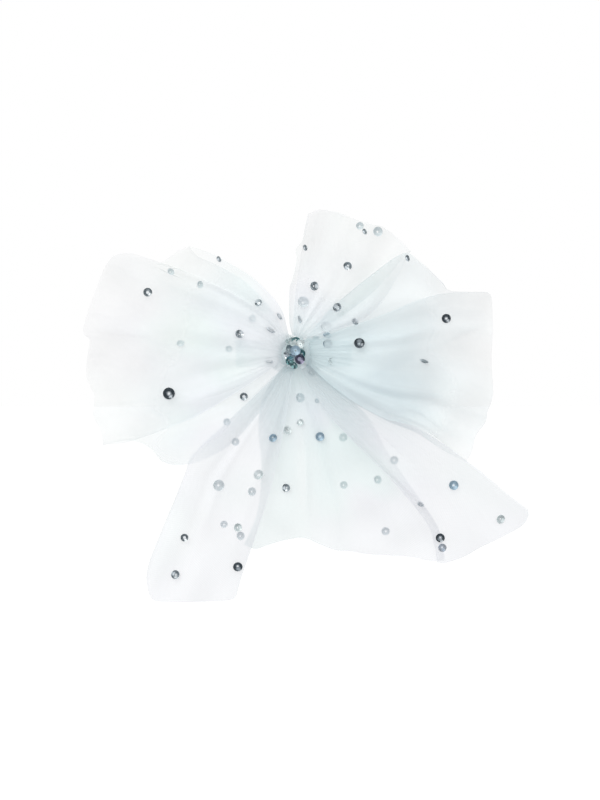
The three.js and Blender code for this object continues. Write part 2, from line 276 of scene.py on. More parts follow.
def tulle_material(name, coverage_stops, hues, knot_tint):
    """Fine net: mostly see-through, denser in the gathers and along raw edges, and along folds partly denser
    and partly darkened by painted shade.
    """
    material, shader = new_material(name, hues[1][1], roughness=0.65)
    shader.inputs["Specular IOR Level"].default_value = 0.2
    shader.inputs["Sheen Weight"].default_value = 0.15
    shader.inputs["Sheen Roughness"].default_value = 0.4
    n = Nodes(material)
    outward = n.attribute("outward").outputs["Fac"]
    n.link(tulle_coverage(n, outward, coverage_stops), shader.inputs["Alpha"])
    n.link(tulle_tint(n, outward, hues, knot_tint), shader.inputs["Base Color"])
    return material


def sequin_material(name, colour, roughness, metallic):
    """Metallised film: a mirror with fine scuffs, a little uneven in colour."""
    material, shader = new_material(name, colour, roughness=roughness, metallic=metallic)
    shader.inputs["Coat Weight"].default_value = 0.3
    shader.inputs["Coat Roughness"].default_value = 0.08
    n = Nodes(material)
    place = n.add("ShaderNodeTexCoord").outputs["Object"]
    scuffs = n.noise(place, 900.0, 3.0)
    n.link(n.span(scuffs, 0.3, 0.75, roughness * 0.7, roughness * 1.8), shader.inputs["Roughness"])
    deep = tuple(c * 0.78 for c in colour)
    n.link(n.ramp(n.noise(place, 260.0, 1.0), [(0.35, deep), (0.65, colour)]), shader.inputs["Base Color"])
    return material


def metal_material(name, colour, roughness):
    """Bare drawn metal, its fine scratches running along X."""
    material, shader = new_material(name, colour, roughness=roughness, metallic=1.0)
    n = Nodes(material)
    place = n.add("ShaderNodeTexCoord").outputs["Object"]
    stretch = n.add("ShaderNodeMapping", Vector=place)
    stretch.inputs["Scale"].default_value = (60, 1400, 1400)
    brushed = n.noise(stretch.outputs[0], 1.0, 4.0)
    n.link(n.span(brushed, 0.25, 0.75, roughness * 0.7, roughness * 1.6), shader.inputs["Roughness"])
    bump = n.add("ShaderNodeBump", Height=brushed, Strength=0.12, Distance=0.00005)
    n.link(bump.outputs[0], shader.inputs["Normal"])
    return material


def lacquer_material(name, colour):
    """White stoved lacquer, a little uneven in its gloss."""
    material, shader = new_material(name, colour, roughness=0.35)
    n = Nodes(material)
    place = n.add("ShaderNodeTexCoord").outputs["Object"]
    n.link(n.span(n.noise(place, 700.0, 3.0), 0.3, 0.7, 0.28, 0.5), shader.inputs["Roughness"])
    bump = n.add("ShaderNodeBump", Height=n.noise(place, 1800.0, 2.0), Strength=0.08, Distance=0.00004)
    n.link(bump.outputs[0], shader.inputs["Normal"])
    return material


def cloth_material(name, colour, scale, depth, roughness=0.9):
    """Felt, thread, wrap, grosgrain and silicone: a fine grain that is a little uneven in tone."""
    material, shader = new_material(name, colour, roughness=roughness)
    shader.inputs["Sheen Weight"].default_value = 0.3
    n = Nodes(material)
    place = n.add("ShaderNodeTexCoord").outputs["Object"]
    height = n.noise(place, scale, 5.0)
    darker = tuple(c * 0.84 for c in colour)
    n.link(n.ramp(height, [(0.25, darker), (0.7, colour)]), shader.inputs["Base Color"])
    bump = n.add("ShaderNodeBump", Height=height, Strength=0.6, Distance=depth)
    n.link(bump.outputs[0], shader.inputs["Normal"])
    return material


# ---------- curves and sheets of tulle ----------

def smooth_curve(points, count):
    """count points spaced evenly along a smooth curve through the given (x, z) points."""
    p = np.array(points, float)
    ends = np.vstack([2 * p[0] - p[1], p, 2 * p[-1] - p[-2]])
    fine = []
    steps = np.linspace(0, 1, CURVE_STEPS, endpoint=False)[:, None]
    for a, b, c, d in zip(ends, ends[1:], ends[2:], ends[3:]):
        fine.append(0.5 * (2 * b + (c - a) * steps + (2 * a - 5 * b + 4 * c - d) * steps ** 2
                           + (3 * b - a - 3 * c + d) * steps ** 3))
    fine = np.vstack(fine + [p[-1:]])
    length = np.concatenate([[0], np.cumsum(np.linalg.norm(np.diff(fine, axis=0), axis=1))])
    at = np.linspace(0, length[-1], count)
    return np.stack([np.interp(at, length, fine[:, k]) for k in (0, 1)], axis=1)


def patch(side_a, rim, side_b, across, along):
    """A grid of (x, z) filled in between two side edges and the rim, from the knot outwards."""
    a = smooth_curve(side_a + rim[:1], EDGE_SAMPLES)
    b = smooth_curve(side_b + rim[-1:], EDGE_SAMPLES)
    outer = smooth_curve(rim, EDGE_SAMPLES)
    inner = np.linspace(a[0], b[0], EDGE_SAMPLES)
    at = np.linspace(0, 1, EDGE_SAMPLES)

    def read(curve, t):
        return np.stack([np.interp(t, at, curve[:, k]) for k in (0, 1)], axis=-1)

    u, s = np.meshgrid(across, along)
    s_, u_ = s[..., None], u[..., None]
    blend = (1 - s_) * read(inner, u) + s_ * read(outer, u) + (1 - u_) * read(a, s) + u_ * read(b, s)
    corners = ((1 - u_) * (1 - s_) * a[0] + u_ * (1 - s_) * b[0]
               + (1 - u_) * s_ * outer[0] + u_ * s_ * outer[-1])
    return blend - corners


def smoothstep(low, high, x):
    t = np.clip((x - low) / (high - low), 0, 1)
    return t * t * (3 - 2 * t)


class Pleats:
    """Gathers that start at the knot, lean over one another and die out at uneven distances."""

    def __init__(self, seed, count, height, lean, reach):
        draw = np.random.default_rng(seed)
        self.count = count
        self.height = height
        self.reach = draw.uniform(0.5, 1.4, count + 2) * reach
        self.size = draw.uniform(0.3, 1.2, count + 2)
        self.lean = draw.uniform(-1, 1, count + 2) * lean
        self.start = draw.uniform(0, 2 * math.pi, 2)
        self.bend = draw.uniform(-0.5, 0.5)

    def between(self, values, u):
        """The values, one to a pleat, blended smoothly across the cloth."""
        place = np.clip(u, 0, 1) * self.count
        first = place.astype(int)
        share = smoothstep(0, 1, place - first)
        return values[first] * (1 - share) + values[first + 1] * share

    def shape(self, u, s):
        """(depth in mm towards the viewer, sideways lean in mm, crease strength) at each point."""
        first, second = self.start
        uneven = 0.9 * np.sin(5 * u + first) + 0.6 * np.sin(13 * u + second)
        phase = 2 * math.pi * self.count * u + uneven * 1.4
        reach = self.between(self.reach, u)
        amount = self.between(self.size, u) * (0.08 + 0.92 * smoothstep(0, 0.6, s))
        amount = amount * (1 - smoothstep(reach - 0.5 * np.minimum(reach, 0.6), reach + 0.2, s))
        ripple = np.sin(phase + self.bend * 4 * s)
        lean = self.between(self.lean, u) * amount * ripple * (0.3 + s)
        return self.height * amount * ripple, lean, amount * np.clip(ripple, 0, 1) ** 2


class Swell:
    """The slow waves of the open cloth and its soft crumples, in mm towards the viewer."""

    def __init__(self, seed, height, crumple=0.3):
        draw = np.random.default_rng(seed)
        self.waves = [(draw.uniform(0.8, 3.2), draw.uniform(0, 2 * math.pi), draw.uniform(-2, 2),
                       height * draw.uniform(0.4, 1.0)) for _ in range(3)]
        self.crumples = [(draw.uniform(-0.35, 0.35, 2), draw.uniform(0, 2 * math.pi), crumple)
                         for _ in range(7)]

    def shape(self, u, s, flat):
        depth = np.zeros_like(s)
        for frequency, start, bend, height in self.waves:
            depth += height * np.sin(2 * math.pi * frequency * u + start + bend * s) * s ** 1.3
        for (across, along), start, height in self.crumples:
            depth += height * np.sin(across * flat[..., 0] + along * flat[..., 1] + start) * s
        return depth


def fold_shape(flat, path, height, widths, cover_and_shade):
    """A fold along a path of (x, z): a lip, and coverage along it that is partly the doubled cloth and
    partly painted shade; a negative share thins the cloth into a lighter band. widths are those of its
    left and right sides, going along the path; most are soft on one side and steep on the other."""
    curve = smooth_curve(path, FOLD_SAMPLES)
    offset = flat[..., None, :] - curve
    nearest = np.argmin((offset ** 2).sum(axis=-1), axis=-1)
    tangent = np.gradient(curve, axis=0)
    tangent = (tangent / np.linalg.norm(tangent, axis=1, keepdims=True))[nearest]
    away = np.take_along_axis(offset, nearest[..., None, None], axis=2)[..., 0, :]
    side = tangent[..., 0] * away[..., 1] - tangent[..., 1] * away[..., 0]
    ends = np.sin(math.pi * nearest / (len(curve) - 1)) ** 1.4
    reach = np.abs(side) / np.where(side > 0, *widths)
    beyond = np.linalg.norm(away, axis=-1) - np.abs(side)
    ends = ends * np.exp(-beyond)
    lip = np.exp(-reach ** 2)
    # the second value is coverage along the fold: partly doubled cloth, partly painted shade
    return height * lip * ends, cover_and_shade * np.exp(-reach ** 1.5) * ends


def layer_points(edges, gathers, swell, folds, depth_line, across, along):
    """Points in mm of one layer, with the outward, crease and fold measures of each."""
    flat = patch(*edges, across, along)
    u, s = np.meshgrid(across, along)
    step = np.gradient(flat, axis=1)
    step = step / np.maximum(np.linalg.norm(step, axis=2, keepdims=True), 1e-9)
    depth = swell.shape(u, s, flat)
    crease = np.zeros_like(s)
    denser_and_shaded = np.zeros_like(s)
    lean = np.zeros_like(s)
    for pleats in gathers:
        rise, sideways, strength = pleats.shape(u, s)
        depth += rise
        lean += sideways
        crease += strength
    # each fold adds its lip and its coverage, which is partly doubled cloth and partly painted shade
    for fold in folds:
        rise, cover_and_shade = fold_shape(flat, *fold)
        depth += rise
        denser_and_shaded += cover_and_shade
    flat = flat + step * lean[..., None]
    points = np.stack([flat[..., 0], depth_line(s) - depth, flat[..., 1]], axis=-1)
    return points, s, crease, denser_and_shaded


def grid_mesh(name, rows):
    """A mesh over a grid of points, with its attributes and its flat coordinates in mm."""
    points, outward, crease, denser_and_shaded, raw = rows
    down, wide = outward.shape
    index = np.arange(down * wide).reshape(down, wide)
    quads = np.stack([index[:-1, :-1], index[:-1, 1:], index[1:, 1:], index[1:, :-1]], axis=-1)
    mesh = new_mesh(name, points, quads.reshape(-1, 4).tolist())
    measures = {"outward": outward, "pleat": crease, "fold": denser_and_shaded, "edge": raw}
    for label, values in measures.items():
        layer = mesh.attributes.new(label, "FLOAT", "POINT")
        layer.data.foreach_set("value", values.astype(np.float32).ravel())
    steps_across = np.linalg.norm(np.diff(points, axis=1), axis=2).mean(axis=0)
    steps_along = np.linalg.norm(np.diff(points, axis=0), axis=2).mean(axis=1)
    flat_u = np.concatenate([[0], np.cumsum(steps_across)])
    flat_v = np.concatenate([[0], np.cumsum(steps_along)])
    uv = np.stack(np.meshgrid(flat_u, flat_v), axis=-1).reshape(-1, 2)
    corner = np.empty(len(mesh.loops), dtype=np.int32)
    mesh.loops.foreach_get("vertex_index", corner)
    mesh.uv_layers.new(name="UVMap").data.foreach_set("uv", uv[corner].astype(np.float32).ravel())
    mesh.shade_smooth()
    return new_object(name, mesh)


def raw_edges(u, width_mm, s=None, length_mm=None):
    """1 on a cut edge, falling to 0 within a millimetre of it."""
    near = np.minimum(u, 1 - u) * width_mm
    if s is not None:
        near = np.minimum(near, (1 - s) * length_mm)
    return 1 - smoothstep(0.2, 1.0, near)


def build_loop(spec):
    across = np.linspace(0, 1, spec["columns"])
    along = 1 - (1 - np.linspace(0, 1, LOOP_ROWS)) ** 1.5
    u, s = np.meshgrid(across, along)

    def thickness(s):
        return np.sin(math.pi * np.clip(s, 0, 1) ** 0.85) ** 0.75

    def front(s):
        return spec["knot_front"] + (spec["rim_y"] - spec["knot_front"]) * s - spec["puff"] * thickness(s)

    def back(s):
        return spec["knot_back"] + (spec["rim_y"] - spec["knot_back"]) * s + spec["sink"] * thickness(s)

    gathers = [Pleats(*pleats) for pleats in spec["pleats"]]
    swell = Swell(*spec["swell"])
    rim = spec["rim"]
    near = layer_points((spec["front_a"], rim, spec["front_b"]), gathers, swell, spec["folds"],
                        front, across, along)
    far = layer_points((spec["back_a"], rim, spec["back_b"]), gathers, swell, spec["back_folds"],
                       back, across, along[:-1])
    raw = raw_edges(u, spec["strip"][0])
    rows = [np.vstack([n, f[::-1]]) for n, f in zip(near, far)] + [np.vstack([raw, raw[-2::-1]])]
    return finish_sheet(grid_mesh(spec["name"], rows), spec)


def build_tail(spec):
    across = np.linspace(0, 1, spec["columns"])
    along = np.linspace(0, 1, TAIL_ROWS)
    u, s = np.meshgrid(across, along)
    gathers = [Pleats(*pleats) for pleats in spec["pleats"]]

    def depth_line(s):
        return spec["knot_y"] + (spec["rim_y"] - spec["knot_y"]) * s - spec["puff"] * np.sin(math.pi * s)

    edges = (spec["side_a"], spec["rim"], spec["side_b"])
    rows = layer_points(edges, gathers, Swell(*spec["swell"]), spec["folds"], depth_line, across, along)
    raw = raw_edges(u, spec["strip"][0], s, spec["strip"][1])
    return finish_sheet(grid_mesh(spec["name"], [*rows, raw]), spec)


def finish_sheet(piece, spec):
    piece.data.materials.append(TULLE[spec["cloth"]])
    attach(piece, BODY)
    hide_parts(*spec["nodes"])
    return piece


# Edges are given in mm from the middle of the knot as (x, z), from the knot outwards. A loop's
# strip runs out in front, folds over at the rim and comes back behind. strip is its flat width and
# length; the width is chosen to suit the modelled cloth. pleats: broad ones, then the fine gathers at
# the knot; each has a seed, number, height, lean and reach. swell: seed and height. folds: path of
# (x, z), height, widths left and right, and a coverage share along the fold that is partly doubled
# cloth and partly painted shade; a negative share thins the cloth into a lighter band.
LOOPS = [
    {
        "name": "left_loop_cloth",
        "nodes": ("left_loop_front", "left_loop_back"),
        "cloth": "loop",
        "front_a": [(-2, 5), (-4.5, 14.5), (-9, 20.5), (-15, 26), (-21.5, 30), (-27, 33.3), (-32, 35.5)],
        "front_b": [(-5, -3.5), (-18, -12.5), (-36, -23), (-55, -30.5), (-61, -32)],
        "back_a": [(-3, 5), (-8, 15), (-17, 24.5), (-28, 31), (-34, 33.5)],
        "back_b": [(-3.5, -5), (-12, -20), (-22, -31.5), (-32, -37.5), (-40, -39.5), (-46.5, -38.5),
                   (-51, -33.5), (-58, -31)],
        "rim": [(-37, 37), (-41, 35.3), (-45, 32.5), (-49, 30.8), (-53, 33), (-57.5, 34.6),
                (-63, 33.5), (-67, 28.5), (-71, 18), (-74, 7.5), (-71.7, 4), (-72.7, -2), (-73, -9),
                (-70.2, -15.5), (-70.5, -22), (-68, -27.5), (-67, -32.5)],
        "knot_front": -14.0, "knot_back": -10.0, "rim_y": -18.5, "puff": 6.0, "sink": 2.5,
        "pleats": [(3, 6, 1.1, 1.2, 0.7), (4, 16, 0.28, 0.2, 0.16)],
        "swell": (12, 0.9),
        "folds": [
            ([(-74, 7.5), (-60, 6.5), (-44, 5)], 0.7, (3.0, 1.0), 0.07),
            ([(-8, -6), (-24, -14), (-42, -19)], 0.8, (7.0, 3.0), 0.12),
            ([(-4, 8), (-14, 19), (-30, 29)], 0.6, (2.0, 4.0), 0.05),
            ([(-9, 3), (-30, 9), (-50, 21)], 0.7, (5.0, 2.0), 0.03),
            ([(-6, -6), (-34, -14), (-62, -20)], 0.0, (12.0, 8.0), 0.10),
        ],
        "back_folds": [
            ([(-14, -18), (-26, -29), (-36, -35)], 0.5, (5.0, 3.0), 0.12),
            ([(-30, -24), (-45, -33), (-60, -34)], 0.3, (6.0, 8.0), 0.16),
        ],
        "columns": 300, "strip": (72, 148),
    },
    {
        "name": "right_loop_cloth",
        "nodes": ("right_loop_front", "right_loop_back"),
        "cloth": "right",
        "front_a": [(4, 2.5), (14, 7), (30, 13), (44, 18.5), (54, 20.7)],
        "front_b": [(4.5, -4), (12, -11), (21.5, -18), (32, -23.5), (42, -26), (50, -30.5)],
        "back_a": [(3, 4), (12, 15), (26, 27), (38, 35), (44, 32), (51, 25.5), (54.5, 21.8)],
        "back_b": [(4, -5), (13, -12.5), (22, -18.5), (33, -24.5), (43, -28.5), (52, -34.5)],
        "rim": [(67.5, 21), (69, 19), (69.6, 10), (69, 0), (69.6, -14), (67.7, -21), (66.8, -25),
                (63.5, -29.5), (62, -35), (60, -38.5)],
        "knot_front": -13.0, "knot_back": -9.5, "rim_y": -16.0, "puff": 5.0, "sink": 2.0,
        "pleats": [(8, 5, 1.1, 1.2, 0.7), (9, 13, 0.28, 0.2, 0.16)],
        "swell": (31, 0.9),
        "folds": [
            ([(9, 1), (27, 4.5), (45, 4)], 0.8, (2.0, 5.0), 0.12),
            ([(70, 9.5), (62, 8), (54, 4), (49, 1)], 0.7, (0.8, 3.0), 0.10),
            ([(52, 15), (62, 14.5), (70, 14)], 0.4, (0.8, 4.0), 0.05),
            ([(6, -5), (24, -13), (46, -19)], 0.8, (7.0, 2.5), 0.10),
            ([(4, -4), (30, -11), (68, -16)], 0.0, (9.0, 9.0), 0.20),
            ([(22, -16), (34, -21), (46, -26), (56, -34)], 0.9, (2.5, 0.8), 0.14),
            ([(34, -17), (44, -21), (52, -27), (60, -32)], 0.7, (2.0, 0.8), 0.10),
        ],
        "back_folds": [
            ([(4, -4), (32, -16), (66, -30)], 0.3, (10.0, 8.0), 0.24),
            ([(69, -2), (68, -18), (64, -29), (60, -39)], 0.2, (3.0, 7.0), 0.13),
            ([(8, 12), (24, 26), (40, 34)], 0.0, (10.0, 14.0), -0.16),
        ],
        "columns": 240, "strip": (60, 136),
    },
    {
        "name": "upper_right_loop_cloth",
        "nodes": ("upper_right_loop_front", "upper_right_loop_back"),
        "cloth": "upper",
        "front_a": [(3, 4.5), (12, 7), (23, 11), (30, 17), (35, 25), (38.5, 31.5)],
        "front_b": [(-1, 6), (-2, 11), (-2, 21.5), (-1, 25), (0.5, 32), (0.2, 35.5), (2.5, 38.5),
                    (3.5, 42.5)],
        "back_a": [(3, 5), (14, 11), (26, 20), (33, 27), (37, 32)],
        "back_b": [(-0.5, 6), (-0.5, 14), (0.5, 24), (2, 34), (3, 41)],
        "rim": [(40.5, 35), (36, 40), (31, 43.5), (26.5, 44.6), (20.5, 46.5), (15, 48.8), (9, 49.6),
                (4.5, 48)],
        "knot_front": -14.5, "knot_back": -10.5, "rim_y": -19.5, "puff": 5.0, "sink": 2.0,
        "pleats": [(15, 4, 1.0, 1.1, 0.7), (16, 11, 0.28, 0.2, 0.18)],
        "swell": (47, 0.8),
        "folds": [
            ([(38, 31), (33, 22), (27, 14), (18, 8.5)], 0.9, (0.9, 5.0), 0.09),
            ([(5, 41), (6, 26), (5, 10)], 0.6, (1.0, 2.5), 0.05),
            ([(20, 42), (15, 26), (8, 12)], 0.6, (4.0, 2.0), 0.04),
        ],
        "back_folds": [],
        "columns": 200, "strip": (35, 100),
    },
]

TAILS = [
    {
        "name": "left_tail_cloth",
        "nodes": ("left_tail",),
        "cloth": "tail",
        "side_a": [(-3.5, -4.5), (-14, -15), (-27, -27), (-36.5, -36), (-39, -42), (-42.5, -51),
                   (-45, -57), (-48.5, -66), (-51.5, -74)],
        "side_b": [(-0.5, -6.5), (-3.5, -25), (-7, -42), (-10, -53), (-15.5, -69.5), (-18.5, -78)],
        "rim": [(-52.5, -79.5), (-51.5, -85), (-48.5, -87.7), (-38, -88), (-26, -87.6), (-21.5, -86.7),
                (-20, -83.5)],
        "knot_y": -10.0, "rim_y": -13.5, "puff": 1.5,
        "pleats": [(21, 3, 0.9, 0.8, 0.7), (22, 9, 0.25, 0.2, 0.16)],
        "swell": (53, 0.7),
        "folds": [
            ([(-10, -50), (-13, -62), (-17, -74)], 0.7, (0.8, 3.0), 0.08),
            ([(-14, -20), (-27, -44), (-33, -66)], 0.6, (2.0, 5.0), 0.05),
            ([(-12, -16), (-22, -25), (-34, -34)], 0.3, (4.0, 1.5), 0.03),
        ],
        "columns": 150, "strip": (34, 92),
    },
    {
        "name": "centre_tail_cloth",
        "nodes": ("centre_tail",),
        "cloth": "skirt",
        "side_a": [(-4.5, -5), (-11, -15), (-13, -26), (-12, -42), (-13.5, -57)],
        "side_b": [(5, -4), (16, -13.5), (26, -23), (32, -34), (40, -46), (49, -59), (52, -66)],
        "rim": [(-18, -68), (-14, -69.5), (-9, -68), (-3, -66.4), (3, -65.6), (9, -68), (14.5, -70),
                (20.5, -70.5), (27.5, -71.5), (41, -72.5), (48, -73.7), (53, -73.5)],
        "knot_y": -8.0, "rim_y": -10.0, "puff": 0.8,
        "pleats": [(33, 5, 0.9, 1.0, 0.8), (34, 13, 0.25, 0.2, 0.18)],
        "swell": (61, 0.7),
        "folds": [
            ([(1.5, -12), (2.5, -34), (3.5, -62)], 0.4, (3.0, 3.0), -0.16),
            ([(4, -65), (4.5, -45), (4, -22)], 0.5, (0.8, 1.4), 0.10),
            ([(3, -10), (8, -25), (12, -42)], 0.6, (2.0, 5.0), 0.14),
            ([(8, -12), (26, -36), (46, -58)], 0.6, (5.0, 3.0), 0.04),
            ([(-6, -14), (-9, -36), (-11, -56)], 0.5, (4.0, 2.0), 0.04),
            ([(5, -4), (26, -23), (32, -34), (52, -66)], 0.0, (5.0, 5.0), -0.34),
            ([(-4.5, -5), (-13, -26), (-12, -42), (-18, -68)], 0.0, (4.0, 4.0), -0.34),
        ],
        "columns": 220, "strip": (48, 70),
    },
    {
        "name": "right_tail_cloth",
        "nodes": ("right_tail",),
        "cloth": "tail",
        "side_a": [(5, -4), (17, -12.5), (31, -20.5), (42, -26), (52, -32), (60, -38), (66, -42.5),
                   (74, -49.3)],
        "side_b": [(2, -6.5), (11, -21), (20, -31), (35, -46.5), (46, -60), (49, -68)],
        "rim": [(82, -55.5), (82, -58), (79.5, -61.5), (73, -65), (65.5, -68.7), (60, -72), (53, -74.2),
                (50, -74)],
        "knot_y": -10.5, "rim_y": -13.0, "puff": 1.5,
        "pleats": [(44, 3, 0.9, 0.8, 0.7), (45, 9, 0.25, 0.2, 0.16)],
        "swell": (71, 0.7),
        "folds": [
            ([(22, -32), (35, -44), (45, -54), (54, -64)], 0.9, (4.0, 0.9), 0.12),
            ([(30, -24), (50, -38), (68, -50)], 0.6, (4.0, 2.0), 0.04),
            ([(10, -12), (34, -33), (54, -54)], 0.4, (7.0, 7.0), 0.16),
        ],
        "columns": 170, "strip": (26, 94),
    },
]


# ---------- sequins ----------

# A cup's section as shares of its radius: (distance from the middle, height), from the hole to the
# rim on the hollow side, and back on the other side, which is raised by the film's thickness.
CUP_HOLLOW = ((0.2, 0), (0.42, 0), (0.74, 0.16), (1, 0.36))
CUP_OUTSIDE = ((1, 0.36), (0.72, 0.16), (0.4, 0), (0.2, 0))
FILM = 0.1
SEQUIN_SIDES = 16


def skin(rings, count, closed=True):
    """Faces between rings of count points each; if closed, the last ring is joined to the first."""
    faces = []
    for i in range(rings if closed else rings - 1):
        here = i * count
        following = (i + 1) % rings * count
        for k in range(count):
            beside = (k + 1) % count
            faces.append((here + k, here + beside, following + beside, following + k))
    return faces


def sequin_mesh(name, diameter, material):
    """A faceted cup with a thread hole, as thin as the film it is cut from."""
    r = diameter / 2
    profile = [(out * r, up * r) for out, up in CUP_HOLLOW]
    profile += [(out * r, up * r + FILM) for out, up in CUP_OUTSIDE]
    points = []
    for i in range(SEQUIN_SIDES):
        angle = 2 * math.pi * i / SEQUIN_SIDES
        points += [(p * math.cos(angle), p * math.sin(angle), h) for p, h in profile]
    faces = [(a, d, c, b) for a, b, c, d in skin(SEQUIN_SIDES, len(profile))]
    mesh = new_mesh(name, points, faces)
    mesh.materials.append(material)
    return mesh


class Surfaces:
    """Finds the layers of tulle in front of and behind a place on the bow."""

    START_Y = -60                     # in front of every layer, in mm
    STEP = 0.2                        # how far past a layer the search goes on, in mm

    def __init__(self, pieces):
        self.trees = []
        for piece in pieces:
            points = [v.co.copy() for v in piece.data.vertices]
            faces = [tuple(p.vertices) for p in piece.data.polygons]
            self.trees.append(BVHTree.FromPolygons(points, faces))

    def layers(self, x, z):
        """(point, normal towards the viewer) of every layer met from the front, nearest first."""
        found = []
        for tree in self.trees:
            start = Vector((x, self.START_Y, z)) * MM
            while True:
                point, normal, _, _ = tree.ray_cast(start, Vector((0, 1, 0)))
                if point is None:
                    break
                found.append((point, normal if normal.y < 0 else -normal))
                start = point + Vector((0, self.STEP * MM, 0))
        return sorted(found, key=lambda hit: hit[0].y)


def place_sequin(name, point, right, up, diameter, film, lift):
    """A sequin tilted to the right and up, lifted by some mm from the point it is sewn to."""
    facing = Vector((right, -1, up)).normalized()
    piece = new_object(name, sequin_mesh(name, diameter, SEQUINS[film]))
    piece.rotation_euler = facing.to_track_quat("Z", "Y").to_euler()
    piece.location = point + facing * lift * MM
    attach(piece, BODY)
    return piece


# How each sequin sits: its film, its tilt to the right and up, and how many layers of tulle it is
# behind. They are listed in the order of the frame's sequins on that piece.
SEWN = {
    "left_loop_front": [
        ("silver", -0.45, 0.35, 0), ("pale", 0.9, 0.0, 1), ("silver", 0.08, 0.08, 0),
        ("silver", 0.35, 0.3, 0), ("pale", 0.0, 0.9, 1), ("gunmetal", 0.0, 0.03, 0),
    ],
    "left_loop_back": [("silver", 0.0, 0.0, 0)],
    "upper_right_loop_front": [
        ("silver", 0.6, 0.6, 1), ("silver", 1.2, 0.3, 0), ("silver", -0.3, 0.15, 0),
        ("silver", -0.25, -0.3, 0), ("pale", 0.0, 0.2, 1), ("silver", 0.55, 0.0, 0),
    ],
    "right_loop_front": [
        ("white", 0.9, 0.2, 0), ("gunmetal", 0.8, 2.4, 0), ("gunmetal", 0.0, 0.28, 0),
        ("gunmetal", -0.06, 0.0, 0),
    ],
    "left_tail": [
        ("silver", 0.0, 0.0, 0), ("pale", 0.2, 0.0, 1), ("silver", -0.3, 0.2, 0),
        ("white", 0.4, 0.1, 0), ("sky", 0.3, -0.35, 0), ("gunmetal", 0.1, -0.25, 0),
    ],
    "centre_tail": [
        ("white", 0.4, 0.3, 0), ("silver", -0.35, 0.0, 0), ("sky", 0.0, -0.1, 0),
        ("pale", 0.2, 0.2, 1), ("pale", -0.2, 0.1, 1),
    ],
    "right_tail": [("gunmetal", -0.12, -0.1, 0), ("sky", 0.0, 0.1, 0), ("white", 0.4, -0.2, 0)],
}

# Smaller and half-hidden ones that the frame leaves out: x and z in mm, diameter, then as above.
MORE_SEQUINS = [
    (-23, 1, 2.4, "pale", 0.0, 0.1, 1), (-9, -4, 2.6, "silver", 0.2, 2.4, 0),
    (-15, 12, 2.8, "pale", 0.3, 0.0, 2), (-9, 7, 3.5, "silver", 1.4, 2.1, 0),
    (-6, 12, 2.8, "silver", 2.1, 1.3, 0), (-27, 32, 2.2, "silver", 1.2, 0.6, 0),
    (-43, 28, 2.6, "pale", 0.6, 0.5, 1), (3, 17.5, 4.0, "pale", 0.2, 0.3, 1),
    (2, 11.5, 2.8, "silver", 2.4, 0.7, 1), (11, 9, 4.0, "pale", 0.2, 0.4, 1),
    (11.5, 6.5, 3.0, "blue", 0.5, 0.9, 1), (11.5, 3, 3.2, "blue", 0.0, 0.1, 1),
    (29, 42, 3.4, "pale", 0.2, 0.1, 1), (24.5, 42, 2.2, "silver", 1.1, 0.5, 1),
    (3, 36, 2.2, "silver", 1.2, 0.3, 0), (6, -7, 2.8, "pale", 0.2, 0.0, 1),
    (2, -16, 3.4, "pale", 0.5, 0.1, 1), (2, -25, 2.4, "white", -0.3, 0.4, 0),
    (-24, -24.5, 2.6, "pale", 0.3, 0.2, 2), (-21, -31.5, 2.8, "pale", 0.1, 0.2, 1),
    (-13, -43, 3.6, "white", -0.35, 0.35, 1), (-15, -49, 3.0, "pale", 0.4, 0.1, 1),
    (35, -38, 3.0, "pale", 0.1, 0.1, 1), (29.5, -45, 3.0, "pale", 0.5, 0.2, 1),
    (52, -69, 3.0, "blue", 0.1, -0.2, 1), (44, -54, 2.4, "silver", 0.4, 1.2, 0),
    (-25, -60.5, 2.6, "pale", 0.1, 0.3, 1), (-19, -64.5, 3.0, "pale", 0.4, 0.3, 1),
    (17, -30, 3.0, "pale", -0.2, 0.1, 1), (8, -17, 1.8, "silver", 0.6, 0.4, 1),
]


SEQUIN_LIFT = 0.3                 # how far a sequin stands off the cloth, in mm


def sew(name, surfaces, x, z, diameter, film, right, up, behind):
    """A sequin on the front layer at (x, z) mm, or close behind one of the layers."""
    layers = surfaces.layers(x, z)
    point = layers[min(max(behind - 1, 0), len(layers) - 1)][0]
    lift = SEQUIN_LIFT if behind == 0 else -0.2 * diameter - SEQUIN_LIFT
    return place_sequin(name, point, right, up, diameter, film, lift)


def build_sequins(surfaces):
    """One fine sequin for each of the frame's, at the same x and z, and the smaller ones."""
    for panel, sewn in SEWN.items():
        for number, (film, *tilt_and_depth) in enumerate(sewn, 1):
            node = f"sequin_{panel}_{number}"
            low, high = (Vector(c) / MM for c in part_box(node))
            middle = (low + high) / 2
            diameter = max(high.x - low.x, high.z - low.z)
            piece = sew(node + "_film", surfaces, middle.x, middle.z, diameter, film, *tilt_and_depth)
            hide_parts(node)
    for number, place in enumerate(MORE_SEQUINS, 1):
        sew(f"sequin_small_{number}", surfaces, *place)


# The sequins heaped on the knot: film, tilt to the right and tilt up.
KNOT_SEWN = [
    ("white", 0.75, 0.3), ("teal", -0.5, 0.0), ("teal", 0.6, -0.3), ("white", -0.2, 0.3),
    ("silver", 0.9, 0.2), ("purple", 0.12, -0.05), ("sky", -0.05, 0.1), ("teal", -0.6, -0.8),
]
# The smaller ones among them: x and z from the middle of the knot in mm, diameter, then as above.
MORE_KNOT_SEWN = [
    (0.3, 4.4, 3.0, "teal", 0.0, -0.7), (-2.9, 2.9, 3.0, "white", 1.4, 0.7),
    (2.6, -4.4, 2.6, "pale", 0.8, -0.9), (-2.6, -1.0, 2.8, "silver", -0.9, -0.3),
    (-1.2, -1.6, 3.0, "sky", -0.5, 0.3), (0.9, 0.9, 2.8, "white", 0.5, -0.2),
]
HEAP_DEPTH = 5.9                  # from the middle of the knot forward to the smaller ones, in mm


